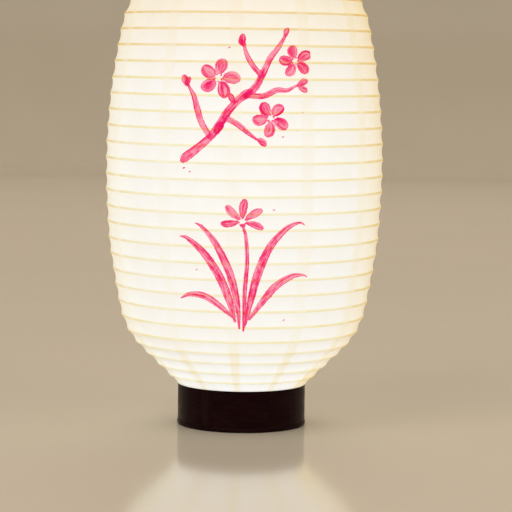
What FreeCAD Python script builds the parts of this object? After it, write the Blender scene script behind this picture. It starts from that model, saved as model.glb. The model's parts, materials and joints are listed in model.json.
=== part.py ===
import FreeCAD, Part
import math
import os
from FreeCAD import Vector as V

# Folding paper lantern lamp on a round black base. Millimetres, +Z up.
# Origin: centre of the felt underside, where the lamp stands. Front is -Y.
os.makedirs("parts", exist_ok=True)

# ---------------------------------------------------------------- driving dimensions
# Hoop ribs, lowest first: (radius of the paper's outside there, height of the rib)
RIB_LINE = [(66.8, 45.3), (77.2, 55.5), (88.1, 66.3), (97.5, 76.2), (105.3, 87.4), (110.7, 100.9),
            (113.9, 115.0), (116.6, 129.5), (118.9, 143.3), (121.2, 157.8), (123.0, 172.2), (124.2, 186.8),
            (125.0, 201.2), (125.8, 215.7), (126.0, 230.0), (126.0, 244.5), (125.7, 259.2), (124.9, 273.7),
            (123.8, 288.3), (122.5, 302.6), (120.7, 316.9), (118.6, 331.4), (116.1, 345.7), (113.5, 359.9),
            (110.1, 374.1), (104.5, 387.4), (97.0, 398.4), (87.6, 408.2), (76.8, 418.8), (66.6, 429.1)]
RIB_WIRE_R = 0.75        # round bamboo rib, 1.5 mm thick
PAPER_T = 0.3            # washi with its paste
PAPER_GAP = 0.55         # between a rib and the paper that it carries
PAPER_SAG = 0.95         # how far the paper draws in between two ribs 14.5 mm apart
GORES = 12               # upright strips of paper
LAP_DEG = 5.4            # width of a pasted lap
LAP_RISE = 0.5           # how far a strip's upper edge lies outside its lower edge
SEAM_AT_DEG = -4.0       # middle of the seam nearest the front, + to the right
THREAD = 0.8             # binding thread, square section

RING_R, RING_WALL = 58.5, 2.5        # the two black rings
RING_LOW_Z = (4.0, 37.8)
RING_TOP_Z = (436.8, 474.2)
RING_EASE = 0.35
RING_SEAM_DEG = -33.6                # where the bent ring's ends meet
HOOP_R = (52.0, 54.5)                # inner hoops, inside and outside radius
TAIL_Z = (23.6, 458.0)               # how far the paper is tucked in between ring and hoop

LIP_R, LIP_Z = 58.95, (0.8, 4.0)      # base plate's edge
SPIGOT_R, SPIGOT_Z = 51.7, 10.0      # raised middle that centres the lower ring
BALLAST_R, BALLAST_T = 38.2, 3.0
FELT_R, FELT_T = 57.2, 0.8
BASE_SCREW_R, BASE_SCREW_DEG = 53.25, (30.0, 150.0, -90.0)

FRAME_X, FRAME_WIRE_R = 46.0, 1.75   # inverted U of steel wire that the shade slides on
FRAME_TOP_Z, FRAME_BEND_R = 465.2, 12.0
FRAME_FOOT_Z = 2.6
LUG_Z = (440.5, 451.5)               # guide lugs of the top ring
LUG_IN_X, LUG_HALF_Y = 41.4, 5.0
BUSH_R = (1.81, 3.0)

HOLDER_R = 19.0                      # lampholder barrel
HOLDER_SPLIT_Z, HOLDER_TOP_Z = 31.0, 64.0
HOLDER_SCREW_X = 23.0
SCREW_SHELL_R = (13.45, 13.95)
BULB_Z = 41.6                        # underside of the bulb's contact
BULB_CAP_R = 13.1
BULB_R, BULB_TOP_Z, BULB_SPLIT_Z = 30.0, 145.0, 105.0

INLET_Z, INLET_BORE_R, INLET_HOLE_R = 17.0, 3.2, 5.0


def pol(r, deg, z=0.0):
    """A point at that angle from the front, + to the right."""
    a = math.radians(deg)
    return V(r * math.sin(a), -r * math.cos(a), z)


def export(shape, name):
    solids = shape.Solids
    print("%-18s %3d solid(s)  valid %s  volume %.1f" % (name, len(solids), all(s.isValid() for s in solids), shape.Volume))
    shape.exportStep("parts/%s.step" % name)


def unit(x, y):
    n = math.hypot(x, y)
    return x / n, y / n


def outline_wire(points):
    """Closed wire of straight runs in the XZ plane from (r, z) points."""
    return Part.makePolygon([V(r, 0, z) for r, z in points] + [V(points[0][0], 0, points[0][1])])


def spun(points, start_deg=None, sweep_deg=360.0):
    solid = Part.Face(outline_wire(points)).revolve(V(0, 0, 0), V(0, 0, 1), sweep_deg)
    if start_deg is not None:
        solid.rotate(V(0, 0, 0), V(0, 0, 1), start_deg - 90.0)
    return solid


def turned(solid, deg):
    """Turned about Z, from the front (-Y) to that angle, + to the right."""
    out = solid.copy()
    out.rotate(V(0, 0, 0), V(0, 0, 1), deg)
    return out


def eased(solid, edges, size):
    """Rounded edges, or the solid as it was when the rounding fails."""
    try:
        out = solid.makeFillet(size, edges)
        return out if out.isValid() and len(out.Solids) == len(solid.Solids) else solid
    except Exception:
        return solid


# ---------------------------------------------------------------- shade: ribs
OUT = RIB_WIRE_R + PAPER_GAP + PAPER_T        # rib centre to the paper's outside
MIDDLE = RIB_WIRE_R + PAPER_GAP + PAPER_T / 2
EDGE_LOW = (RING_R - 0.35, RING_LOW_Z[1] + 0.5)
EDGE_TOP = (RING_R - 0.35, RING_TOP_Z[0] - 0.5)


def rib_frames():
    """Each rib's centre and outward direction in the (r, z) plane."""
    pts = [EDGE_LOW] + RIB_LINE + [EDGE_TOP]
    found = []
    for i in range(1, len(pts) - 1):
        tr, tz = unit(pts[i + 1][0] - pts[i - 1][0], pts[i + 1][1] - pts[i - 1][1])
        n = (tz, -tr)
        found.append(((pts[i][0] - OUT * n[0], pts[i][1] - OUT * n[1]), n))
    return found


RIBS = rib_frames()
for i, ((rc, zc), n) in enumerate(RIBS):
    torus = Part.makeTorus(rc, RIB_WIRE_R, V(0, 0, zc))
    torus.exportStep("parts/rib_%02d.step" % (i + 1))
print("rib centres:", ["%.2f,%.2f" % c for c, n in RIBS])


# ---------------------------------------------------------------- shade: paper
def span(a, ra, b, rb, sag):
    """The paper's middle line between two ribs, drawn in by sag: start, middle and end, and the arc's radius (centre outside the shade)."""
    length = math.hypot(b[0] - a[0], b[1] - a[1])
    tr, tz = unit(b[0] - a[0], b[1] - a[1])
    n = (tz, -tr)
    big = (length * length / 4 + sag * sag) / (2 * sag)      # arc radius plus rib offset
    mean = (ra + rb) / 2
    radius = big - mean
    h = mean - sag + radius
    c = ((a[0] + b[0]) / 2 + h * n[0], (a[1] + b[1]) / 2 + h * n[1])
    return c, radius, n


def tangent(e, c, side):
    """Where a straight run from e touches the paper's circle about rib centre c, and the run's direction."""
    dist = math.hypot(c[0] - e[0], c[1] - e[1])
    turn = side * math.asin(MIDDLE / dist)
    ux, uz = (c[0] - e[0]) / dist, (c[1] - e[1]) / dist
    d = (ux * math.cos(turn) - uz * math.sin(turn), ux * math.sin(turn) + uz * math.cos(turn))
    run = math.sqrt(dist * dist - MIDDLE * MIDDLE)
    return (e[0] + d[0] * run, e[1] + d[1] * run), d


def paper_edges(by):
    """Arcs and straight runs of the paper's middle line moved outward by that much, from the lower tail to the top tail, and the free part alone."""
    tail_r = (RING_R - RING_WALL + HOOP_R[1]) / 2
    edges, free = [], []

    def line(p, q, kept):
        kept.append(Part.LineSegment(V(p[0], 0, p[1]), V(q[0], 0, q[1])).toShape())

    def arc(p, m, q, kept):
        kept.append(Part.Arc(V(p[0], 0, p[1]), V(m[0], 0, m[1]), V(q[0], 0, q[1])).toShape())

    centres = [c for c, _ in RIBS]
    # lower tail: up between ring and hoop, over the ring's edge
    bend = 0.9
    low, top = EDGE_LOW[1], EDGE_TOP[1]
    r = tail_r + by
    start = (r, TAIL_Z[0])
    a = (r, low - bend)
    corner = (tail_r + bend, low - bend)
    k = bend - by
    b = (corner[0], corner[1] + k)
    m = (corner[0] - k * math.cos(math.pi / 4), corner[1] + k * math.sin(math.pi / 4))
    line(start, a, edges)
    arc(a, m, b, edges)
    # over the ring's top edge to the first rib, a straight run
    touch, d = tangent(EDGE_LOW, centres[0], -1)
    nd = (d[1], -d[0])
    # miter of the flat run (outward is -z there) and of the sloping run
    def miter(edge, n_flat, n_slope):
        s = unit(n_flat[0] + n_slope[0], n_flat[1] + n_slope[1])
        share = s[0] * n_flat[0] + s[1] * n_flat[1]
        return (edge[0] + by * s[0] / share, edge[1] + by * s[1] / share)
    e_low = miter(EDGE_LOW, (0.0, -1.0), nd)
    line(b, e_low, edges)
    here = (touch[0] + by * nd[0], touch[1] + by * nd[1])
    line(e_low, here, free)
    angle_in = math.atan2(nd[1], nd[0])
    # ribs and the spans between them
    for i in range(len(centres)):
        c0 = centres[i]
        if i < len(centres) - 1:
            c1 = centres[i + 1]
            length = math.hypot(c1[0] - c0[0], c1[1] - c0[1])
            sag = PAPER_SAG * length / 14.5
            c, radius, n = span(c0, MIDDLE, c1, MIDDLE, sag)
            u = unit(c[0] - c0[0], c[1] - c0[1])
            w = unit(c[0] - c1[0], c[1] - c1[1])
            out_ang = math.atan2(u[1], u[0])
        else:
            t2, back = tangent(EDGE_TOP, c0, 1)
            nd2 = (-back[1], back[0])
            out_ang = math.atan2(nd2[1], nd2[0])
        rr = MIDDLE + by
        mid_ang = (angle_in + out_ang) / 2
        p = here
        q = (c0[0] + rr * math.cos(out_ang), c0[1] + rr * math.sin(out_ang))
        mm = (c0[0] + rr * math.cos(mid_ang), c0[1] + rr * math.sin(mid_ang))
        arc(p, mm, q, free)
        here = q
        if i < len(centres) - 1:
            rs = radius - by
            mid = (c[0] - rs * n[0], c[1] - rs * n[1])
            end = (c1[0] + rr * w[0], c1[1] + rr * w[1])
            arc(here, mid, end, free)
            here = end
            angle_in = math.atan2(w[1], w[0])
    e_top = miter(EDGE_TOP, nd2, (0.0, 1.0))
    line(here, e_top, free)
    corner = (tail_r + bend, top + bend)
    b = (corner[0], corner[1] - k)
    m = (corner[0] - k * math.cos(math.pi / 4), corner[1] - k * math.sin(math.pi / 4))
    a = (r, top + bend)
    tail = []
    line(e_top, b, tail)
    arc(b, m, a, tail)
    line(a, (r, TAIL_Z[1]), tail)
    return edges + free + tail


inner, outer = paper_edges(-PAPER_T / 2), paper_edges(PAPER_T / 2)
cap_low = Part.LineSegment(inner[0].Vertexes[0].Point, outer[0].Vertexes[0].Point).toShape()
cap_top = Part.LineSegment(inner[-1].Vertexes[-1].Point, outer[-1].Vertexes[-1].Point).toShape()
section = Part.Wire(Part.__sortEdges__(inner + outer + [cap_low, cap_top]))
print("paper section closed", section.isClosed(), "line length %.1f" % sum(e.Length for e in outer))
step = 360.0 / GORES
sweep = step + LAP_DEG
gore = Part.Face(section).revolve(V(0, 0, 0), V(0, 0, 1), sweep)
gore.rotate(V(0, 0, 0), V(0, 0, 1), -90.0 - sweep / 2)           # middle of the strip at the front
gore.translate(V(LAP_RISE / (2 * math.sin(math.radians(sweep / 2))), 0, 0))
if gore.Volume < 0:
    gore.reverse()
gores = [turned(gore, SEAM_AT_DEG + step * (k + 0.5)) for k in range(GORES)]
export(Part.makeCompound(gores), "shade_paper")

# ---------------------------------------------------------------- shade: binding threads inside the ribs
IN_BY = RIB_WIRE_R + 0.3 + THREAD / 2
run = [(c[0] - IN_BY * n[0], c[1] - IN_BY * n[1]) for c, n in RIBS]
run = [(56.4, RING_LOW_Z[1] + 1.9)] + run + [(56.4, RING_TOP_Z[0] - 1.9)]


def offset(line, by):
    out = []
    for i, (x, y) in enumerate(line):
        ns = []
        if i > 0:
            t = unit(x - line[i - 1][0], y - line[i - 1][1])
            ns.append((t[1], -t[0]))
        if i < len(line) - 1:
            t = unit(line[i + 1][0] - x, line[i + 1][1] - y)
            ns.append((t[1], -t[0]))
        n = unit(sum(k[0] for k in ns), sum(k[1] for k in ns))
        share = n[0] * ns[0][0] + n[1] * ns[0][1]
        out.append((x + by * n[0] / share, y + by * n[1] / share))
    return out


loop = offset(run, THREAD / 2) + offset(run, -THREAD / 2)[::-1]
strip = Part.Face(Part.makePolygon([V(r, -THREAD / 2, z) for r, z in loop + loop[:1]])).extrude(V(0, THREAD, 0))
strip.rotate(V(0, 0, 0), V(0, 0, 1), -90.0)
export(Part.makeCompound([turned(strip, SEAM_AT_DEG + step * k) for k in range(GORES)]), "binding_threads")


# ---------------------------------------------------------------- black rings and their inner hoops
def ring_outer(z0, z1):
    c, r0, r1 = RING_EASE, RING_R - RING_WALL, RING_R
    ring = spun([(r0, z0 + c), (r0 + c, z0), (r1 - c, z0), (r1, z0 + c), (r1, z1 - c), (r1 - c, z1), (r0 + c, z1), (r0, z1 - c)])
    groove = Part.makeBox(0.5, 0.8, z1 - z0 + 2, V(-0.25, -RING_R - 0.45, z0 - 1))
    groove.rotate(V(0, 0, 0), V(0, 0, 1), RING_SEAM_DEG)
    return ring.cut(groove)


inlet_hole = Part.makeCylinder(INLET_HOLE_R, 20.0, V(0, 44.0, INLET_Z), V(0, 1, 0))
export(ring_outer(*RING_LOW_Z).cut(inlet_hole), "lower_ring")
export(ring_outer(*RING_TOP_Z), "top_ring")

foot, head = RING_LOW_Z[0], RING_TOP_Z[1]
h0, h1, wall_in = HOOP_R[0], HOOP_R[1], RING_R - RING_WALL - 0.06
low_hoop = spun([(h0, foot), (wall_in, foot), (wall_in, foot + 2.5), (h1, foot + 2.5), (h1, RING_LOW_Z[1] - 1.4),
                 (h1 - 0.7, RING_LOW_Z[1] - 0.7), (h0 + 0.5, RING_LOW_Z[1] - 0.7), (h0, RING_LOW_Z[1] - 1.2)])
low_hoop = low_hoop.cut(inlet_hole)
base_screw_holes = [Part.makeCylinder(1.1, 20.0, pol(BASE_SCREW_R, d)) for d in BASE_SCREW_DEG]
for hole in base_screw_holes:
    low_hoop = low_hoop.cut(hole.common(Part.makeBox(200, 200, 12.2, V(-100, -100, 0))))
export(low_hoop, "lower_inner_hoop")

top_hoop = spun([(h0, RING_TOP_Z[0] + 1.2), (h0 + 0.5, RING_TOP_Z[0] + 0.7), (h1 - 0.7, RING_TOP_Z[0] + 0.7), (h1, RING_TOP_Z[0] + 1.4),
                 (h1, head - 2.5), (wall_in, head - 2.5), (wall_in, head - 0.6), (wall_in - 0.3, head - 0.3), (h0 + 0.5, head - 0.3), (h0, head - 0.8)])
RIVET_Z = (LUG_Z[0] + LUG_Z[1]) / 2
RIVET_OFF = 10.5
rivet_at = [side + off for side in (90.0, -90.0) for off in (-RIVET_OFF, RIVET_OFF)]


def radial(r0, r1, rad, deg, z):
    """A round bar that points outward."""
    d = pol(1.0, deg)
    return Part.makeCylinder(rad, r1 - r0, d * r0 + V(0, 0, z), d)


for d in rivet_at:
    top_hoop = top_hoop.cut(radial(50.0, h1 - 0.4, 1.05, d, RIVET_Z))
export(top_hoop, "top_inner_hoop")

# guide lugs, their bushes and rivets
lugs, bushes, rivets = [], [], []
for side in (1, -1):
    foot_plate = spun([(h0 - 1.4, LUG_Z[0] + 1.0), (h0 - 0.03, LUG_Z[0] + 1.0), (h0 - 0.03, LUG_Z[1] - 1.0), (h0 - 1.4, LUG_Z[1] - 1.0)], -14.0, 28.0)
    foot_plate = turned(foot_plate, 90.0 * side)
    block = Part.makeBox(h0 - 0.7 - LUG_IN_X, 2 * LUG_HALF_Y, LUG_Z[1] - LUG_Z[0], V(LUG_IN_X, -LUG_HALF_Y, LUG_Z[0]))
    block = eased(block, [e for e in block.Edges if abs(e.Vertexes[0].Z - e.Vertexes[1].Z) > 5 and e.Vertexes[0].X < LUG_IN_X + 1], 2.2)
    if side < 0:
        block.rotate(V(0, 0, 0), V(0, 0, 1), 180.0)
    lug = block.fuse(foot_plate).removeSplitter()
    at = V(FRAME_X * side, 0, 0)
    lug = lug.cut(Part.makeCylinder(BUSH_R[1] + 0.05, 40.0, at + V(0, 0, LUG_Z[0] - 5)))
    for off in (-RIVET_OFF, RIVET_OFF):
        lug = lug.cut(radial(45.0, 53.0, 1.05, 90.0 * side + off, RIVET_Z))
    lugs.append(lug.Solids[0])
    b = Part.makeCylinder(BUSH_R[1], LUG_Z[1] - LUG_Z[0], at + V(0, 0, LUG_Z[0]))
    for z in (LUG_Z[0] - 0.9, LUG_Z[1]):
        b = b.fuse(Part.makeCylinder(BUSH_R[1] + 1.0, 0.9, at + V(0, 0, z)))
    b = b.cut(Part.makeCylinder(BUSH_R[0], 40.0, at + V(0, 0, LUG_Z[0] - 10))).removeSplitter()
    bushes.append(b.Solids[0])
    for off in (-RIVET_OFF, RIVET_OFF):
        deg = 90.0 * side + off
        d = pol(1.0, deg)
        shank = radial(50.0, h1 - 0.5, 0.95, deg, RIVET_Z)
        ball = Part.makeSphere(2.4, d * (h0 - 1.45 + 1.6) + V(0, 0, RIVET_Z))
        keep = radial(h0 - 2.7, h0 - 1.45, 3.0, deg, RIVET_Z)
        rivets.append(shank.fuse(ball.common(keep)).removeSplitter().Solids[0])
export(Part.makeCompound(lugs), "guide_lugs")
export(Part.makeCompound(bushes), "guide_bushes")
export(Part.makeCompound(rivets), "lug_rivets")

# ---------------------------------------------------------------- base
plate = spun([(0, LIP_Z[0]), (LIP_R - 0.5, LIP_Z[0]), (LIP_R, LIP_Z[0] + 0.5), (LIP_R, LIP_Z[1] - 1.0), (LIP_R - 0.3, LIP_Z[1] - 0.3),
              (LIP_R - 1.0, LIP_Z[1]), (SPIGOT_R, LIP_Z[1]), (SPIGOT_R, SPIGOT_Z - 1.0), (SPIGOT_R - 1.0, SPIGOT_Z), (0, SPIGOT_Z)])
plate = plate.cut(Part.makeCylinder(BALLAST_R + 0.3, BALLAST_T + 0.15, V(0, 0, LIP_Z[0])))
for x in (-HOLDER_SCREW_X, HOLDER_SCREW_X):
    plate = plate.cut(Part.makeCylinder(1.5, 5.2, V(x, 0, SPIGOT_Z - 5.2)))
for side in (-1, 1):
    at = V(FRAME_X * side, 0, 0)
    plate = plate.cut(Part.makeCylinder(3.65, SPIGOT_Z - 2.4, at + V(0, 0, 2.4)))
for hole in base_screw_holes:
    plate = plate.cut(hole)
screws = []
for d in BASE_SCREW_DEG:
    p = pol(BASE_SCREW_R, d)
    plate = plate.cut(Part.makeCone(2.75, 1.1, 1.6, p + V(0, 0, LIP_Z[0])))
    s = Part.makeCone(2.6, 1.0, 1.5, p + V(0, 0, LIP_Z[0] + 0.02)).fuse(Part.makeCylinder(1.0, 10.2, p + V(0, 0, LIP_Z[0] + 1.0)))
    slot = Part.makeBox(6, 0.6, 0.7, V(-3, -0.3, 0)).fuse(Part.makeBox(0.6, 6, 0.7, V(-0.3, -3, 0)))
    slot.translate(p + V(0, 0, LIP_Z[0] - 0.1))
    screws.append(s.removeSplitter().cut(slot).Solids[0])
export(plate, "base_plate")
export(Part.makeCompound(screws), "base_screws")
ballast = spun([(0, LIP_Z[0] + 0.03), (BALLAST_R - 0.5, LIP_Z[0] + 0.03), (BALLAST_R, LIP_Z[0] + 0.5), (BALLAST_R, LIP_Z[0] + BALLAST_T - 0.5),
                (BALLAST_R - 0.5, LIP_Z[0] + BALLAST_T), (0, LIP_Z[0] + BALLAST_T)])
export(ballast, "ballast_disc")
felt = Part.makeCylinder(FELT_R, FELT_T, V(0, 0, 0))
export(felt, "felt_pad")

# ---------------------------------------------------------------- wire frame that the shade slides on
b = FRAME_BEND_R
p0, p1 = V(-FRAME_X, 0, FRAME_FOOT_Z), V(-FRAME_X, 0, FRAME_TOP_Z - b)
p2, p3 = V(-FRAME_X + b, 0, FRAME_TOP_Z), V(FRAME_X - b, 0, FRAME_TOP_Z)
p4, p5 = V(FRAME_X, 0, FRAME_TOP_Z - b), V(FRAME_X, 0, FRAME_FOOT_Z)
s = b * math.sin(math.pi / 4)
wire = [Part.makeCylinder(FRAME_WIRE_R, (p1 - p0).Length, p0), Part.makeCylinder(FRAME_WIRE_R, (p3 - p2).Length, p2, V(1, 0, 0)),
        Part.makeCylinder(FRAME_WIRE_R, (p4 - p5).Length, p5)]
for centre, start in ((V(-FRAME_X + b, 0, FRAME_TOP_Z - b), V(-FRAME_X, 0, FRAME_TOP_Z - b)), (V(FRAME_X - b, 0, FRAME_TOP_Z - b), V(FRAME_X, 0, FRAME_TOP_Z - b))):
    disc = Part.Face(Part.Wire([Part.Circle(start, V(0, 0, 1), FRAME_WIRE_R).toShape()]))
    turn = 90.0 if start.x < centre.x else -90.0
    wire.append(disc.revolve(centre, V(0, 1, 0), turn))
frame = wire[0]
for w in wire[1:]:
    frame = frame.fuse(w)
frame = frame.removeSplitter()
export(frame.Solids[0] if len(frame.Solids) == 1 else frame, "frame_wire")
ferrules = []
for side in (-1, 1):
    at = V(FRAME_X * side, 0, 0)
    f = Part.makeCylinder(3.6, SPIGOT_Z - 2.0, at + V(0, 0, 2.5)).fuse(Part.makeCylinder(4.9, 1.4, at + V(0, 0, SPIGOT_Z + 0.02)))
    f = f.fuse(Part.makeCylinder(3.0, 3.0, at + V(0, 0, SPIGOT_Z + 1.3)))
    f = f.removeSplitter().cut(Part.makeCylinder(FRAME_WIRE_R + 0.05, 40.0, at + V(0, 0, FRAME_FOOT_Z - 0.05)))
    ferrules.append(f.Solids[0])
export(Part.makeCompound(ferrules), "frame_ferrules")

# ---------------------------------------------------------------- lampholder
z = SPIGOT_Z
dome = spun([(6.0, z + 0.02), (16.8, z + 0.02), (17.2, z + 0.5), (17.2, HOLDER_SPLIT_Z - 5.0), (16.2, HOLDER_SPLIT_Z - 4.0), (16.2, HOLDER_SPLIT_Z + 3.0),
             (14.4, HOLDER_SPLIT_Z + 3.0), (14.4, z + 3.4), (13.2, z + 2.2), (6.0, z + 2.2)])
ears = Part.makeBox(2 * HOLDER_SCREW_X, 10.0, 2.6, V(-HOLDER_SCREW_X, -5.0, z + 0.02))
for x in (-HOLDER_SCREW_X, HOLDER_SCREW_X):
    ears = ears.fuse(Part.makeCylinder(5.0, 2.6, V(x, 0, z + 0.02)))
ears = ears.cut(Part.makeCylinder(15.5, 10.0, V(0, 0, z - 2)))
dome = dome.fuse(ears).removeSplitter()
for x in (-HOLDER_SCREW_X, HOLDER_SCREW_X):
    dome = dome.cut(Part.makeCylinder(1.9, 8.0, V(x, 0, z - 1)))
dome = dome.cut(Part.makeCylinder(3.3, 12.0, V(0, 10.0, INLET_Z + 1.0), V(0, 1, 0)))
export(dome, "holder_cup")
hs = []
for x in (-HOLDER_SCREW_X, HOLDER_SCREW_X):
    p = V(x, 0, z)
    hd = Part.makeSphere(4.6, p + V(0, 0, 2.65 - 2.6)).common(Part.makeCylinder(3.4, 6.0, p + V(0, 0, 2.65)))
    sh = Part.makeCylinder(1.4, 7.6, p + V(0, 0, -4.9))
    one = hd.fuse(sh).removeSplitter()
    slot = Part.makeBox(4.6, 0.7, 1.2, V(-2.3, -0.35, 0)).fuse(Part.makeBox(0.7, 4.6, 1.2, V(-0.35, -2.3, 0)))
    slot.translate(p + V(0, 0, 3.75))
    hs.append(one.cut(slot).Solids[0])
export(Part.makeCompound(hs), "holder_screws")
z = HOLDER_SPLIT_Z
barrel = [(16.25, z - 3.9), (HOLDER_R - 0.6, z - 3.9), (HOLDER_R, z - 3.3)]
zz = z + 1.0
while zz < HOLDER_TOP_Z - 14.0:                                # grip ridges
    barrel += [(HOLDER_R, zz), (HOLDER_R - 0.6, zz + 0.6), (HOLDER_R - 0.6, zz + 1.2), (HOLDER_R, zz + 1.8)]
    zz += 3.6
barrel += [(HOLDER_R, HOLDER_TOP_Z - 1.0), (HOLDER_R - 1.0, HOLDER_TOP_Z), (15.6, HOLDER_TOP_Z), (14.9, HOLDER_TOP_Z - 0.7), (14.9, HOLDER_TOP_Z - 3.0),
           (16.25, HOLDER_TOP_Z - 4.4)]
export(spun(barrel), "holder_barrel")
block = spun([(0, 35.0), (15.9, 35.0), (15.9, 40.2), (14.3, 40.2), (14.3, 39.0), (0, 39.0)])
for x in (-9.5, 9.5):
    block = block.cut(Part.makeCylinder(1.35, 10.0, V(x, 0, 30.0)))
export(block, "contact_block")
shell = []
r0, r1 = SCREW_SHELL_R
zs = 39.05
shell_out, shell_in = [], []
k = 0
while zs < 62.0:
    bump = 0.0 if k % 2 == 0 else 0.28
    shell_out.append((r1 - 0.1 + bump, zs))
    shell_in.append((r0 - 0.1 + bump, zs))
    zs += 1.8
    k += 1
export(spun(shell_out + shell_in[::-1]), "screw_shell")
# sprung tongue under the bulb's contact
tongue = Part.Face(Part.makePolygon([V(-7.0, -2.5, 39.05), V(-3.0, -2.5, 39.05), V(-1.0, -2.5, 41.0), V(3.0, -2.5, 41.0), V(4.6, -2.5, 40.2),
                                     V(4.6, -2.5, 40.7), V(3.1, -2.5, 41.5), V(-1.3, -2.5, 41.5), V(-3.2, -2.5, 39.55), V(-7.0, -2.5, 39.55), V(-7.0, -2.5, 39.05)])).extrude(V(0, 5.0, 0))
export(tongue, "centre_tongue")
ts = []
for x in (-9.5, 9.5):
    one = Part.makeCylinder(2.6, 1.8, V(x, 0, 33.15)).fuse(Part.makeCylinder(1.25, 3.8, V(x, 0, 34.9)))
    one = one.cut(Part.makeBox(6.0, 0.7, 0.9, V(x - 3.0, -0.35, 33.1))).removeSplitter()
    ts.append(one.Solids[0])
export(Part.makeCompound(ts), "terminal_screws")

# ---------------------------------------------------------------- bulb
cap = [(9.0, 45.4), (11.4, 45.4), (12.4, 46.6)]
zz = 48.0
while zz < 61.0:                                               # rounded screw ridges
    cap += [(12.5, zz), (BULB_CAP_R - 0.1, zz + 0.8), (BULB_CAP_R, zz + 1.3), (BULB_CAP_R - 0.1, zz + 1.8)]
    zz += 2.9
cap += [(12.5, 62.7), (12.9, 64.0), (13.0, 70.5), (12.4, 70.5), (12.4, 64.2), (11.9, 62.7), (11.9, 47.0), (11.2, 46.0), (9.0, 46.0)]
export(spun(cap), "bulb_cap")
export(spun([(0, 43.0), (4.6, 43.0), (9.2, 45.0), (9.2, 45.35), (8.8, 45.35), (8.8, 46.6), (0, 46.6)]), "bulb_insulator")
contact = Part.makeSphere(6.2, V(0, 0, BULB_Z + 6.2)).common(Part.makeCylinder(4.2, 1.38, V(0, 0, BULB_Z)))
export(contact, "bulb_contact")
housing = [(12.35, 64.3), (12.35, 70.6), (13.2, 70.7), (14.6, 74.0), (17.6, 80.6), (21.6, 88.6), (25.2, 96.2), (27.4, 101.6), (28.2, 104.9),
           (26.3, 104.9), (26.3, 102.4), (23.6, 96.6), (20.0, 89.2), (16.0, 81.2), (13.1, 74.6), (11.6, 71.0), (11.6, 64.3)]
export(spun(housing), "bulb_housing")
board = Part.makeCylinder(26.0, 1.4, V(0, 0, 102.45))
for k in range(10):
    a = math.radians(36 * k)
    led = Part.makeBox(2.8, 2.8, 0.8, V(-1.4, -1.4, 103.85))
    led.rotate(V(0, 0, 0), V(0, 0, 1), 36 * k)
    led.translate(V(17 * math.cos(a), 17 * math.sin(a), 0))
    board = board.fuse(led)
export(board.removeSplitter(), "bulb_led_board")


def globe_line(r):
    """Outline of the globe from its foot to its crown."""
    zc = BULB_TOP_Z - BULB_R
    a0 = math.asin((BULB_SPLIT_Z - zc) / r)
    pts = []
    for k in range(25):
        a = a0 + (math.pi / 2 - a0) * k / 24
        pts.append((r * math.cos(a) if k < 24 else 0.0, zc + r * math.sin(a)))
    return pts


export(spun(globe_line(BULB_R) + globe_line(BULB_R - 1.1)[::-1]), "bulb_diffuser")

# ---------------------------------------------------------------- cord inlet
y0, y1 = HOOP_R[0] - 0.05, RING_R + 0.05
flange_in = Part.makeCylinder(7.0, 3.0, V(0, 49.0, INLET_Z), V(0, 1, 0)).common(Part.makeCylinder(y0, 60.0, V(0, 0, 0)))
flange_out = Part.makeCylinder(7.0, 3.5, V(0, 56.7, INLET_Z), V(0, 1, 0)).cut(Part.makeCylinder(y1, 60.0, V(0, 0, 0)))
grommet = Part.makeCylinder(INLET_HOLE_R - 0.08, 11.2, V(0, 49.0, INLET_Z), V(0, 1, 0)).fuse(flange_in).fuse(flange_out)
grommet = grommet.cut(Part.makeCylinder(INLET_BORE_R, 20.0, V(0, 45.0, INLET_Z), V(0, 1, 0))).removeSplitter()
rims = [e for e in grommet.Edges if isinstance(e.Curve, Part.Circle) and abs(e.Curve.Radius - 7.0) < 0.01 and e.BoundBox.YMin > 59.0]
grommet = eased(grommet, rims, 0.8)
export(grommet, "cord_grommet")
print("files:", len([f for f in os.listdir("parts") if f.endswith(".step")]))
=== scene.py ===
import bpy
import bmesh
import json
import math
import numpy as np
from mathutils import Matrix, Vector


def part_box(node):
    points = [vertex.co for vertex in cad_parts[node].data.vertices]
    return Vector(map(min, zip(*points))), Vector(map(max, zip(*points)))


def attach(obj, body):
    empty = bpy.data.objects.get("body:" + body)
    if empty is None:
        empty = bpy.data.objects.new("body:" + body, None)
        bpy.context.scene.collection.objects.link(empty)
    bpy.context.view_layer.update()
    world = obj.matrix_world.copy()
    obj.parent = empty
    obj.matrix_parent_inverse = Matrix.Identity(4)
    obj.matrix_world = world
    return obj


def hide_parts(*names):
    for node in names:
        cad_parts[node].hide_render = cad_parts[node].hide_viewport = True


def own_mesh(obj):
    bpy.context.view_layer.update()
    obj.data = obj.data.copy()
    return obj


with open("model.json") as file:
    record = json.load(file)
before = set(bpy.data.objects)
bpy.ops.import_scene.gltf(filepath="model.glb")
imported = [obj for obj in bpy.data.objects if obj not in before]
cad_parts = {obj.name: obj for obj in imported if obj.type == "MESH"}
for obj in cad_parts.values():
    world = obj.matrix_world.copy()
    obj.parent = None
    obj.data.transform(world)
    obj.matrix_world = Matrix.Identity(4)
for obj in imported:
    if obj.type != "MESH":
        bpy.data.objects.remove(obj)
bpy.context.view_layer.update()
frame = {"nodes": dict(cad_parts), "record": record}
NODES = frame["nodes"]
SCENE = bpy.context.scene
RNG = np.random.default_rng(11)
MM = 0.001

# ---------------------------------------------------------------- camera and light
FOCAL_PX = 2214.0                  # in a 512 pixel wide picture
CAM_AT = Vector((0.0, -2.021, 0.3356))
PITCH, YAW, ROLL = math.radians(5.120), math.radians(-0.334), math.radians(0.76)

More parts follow.
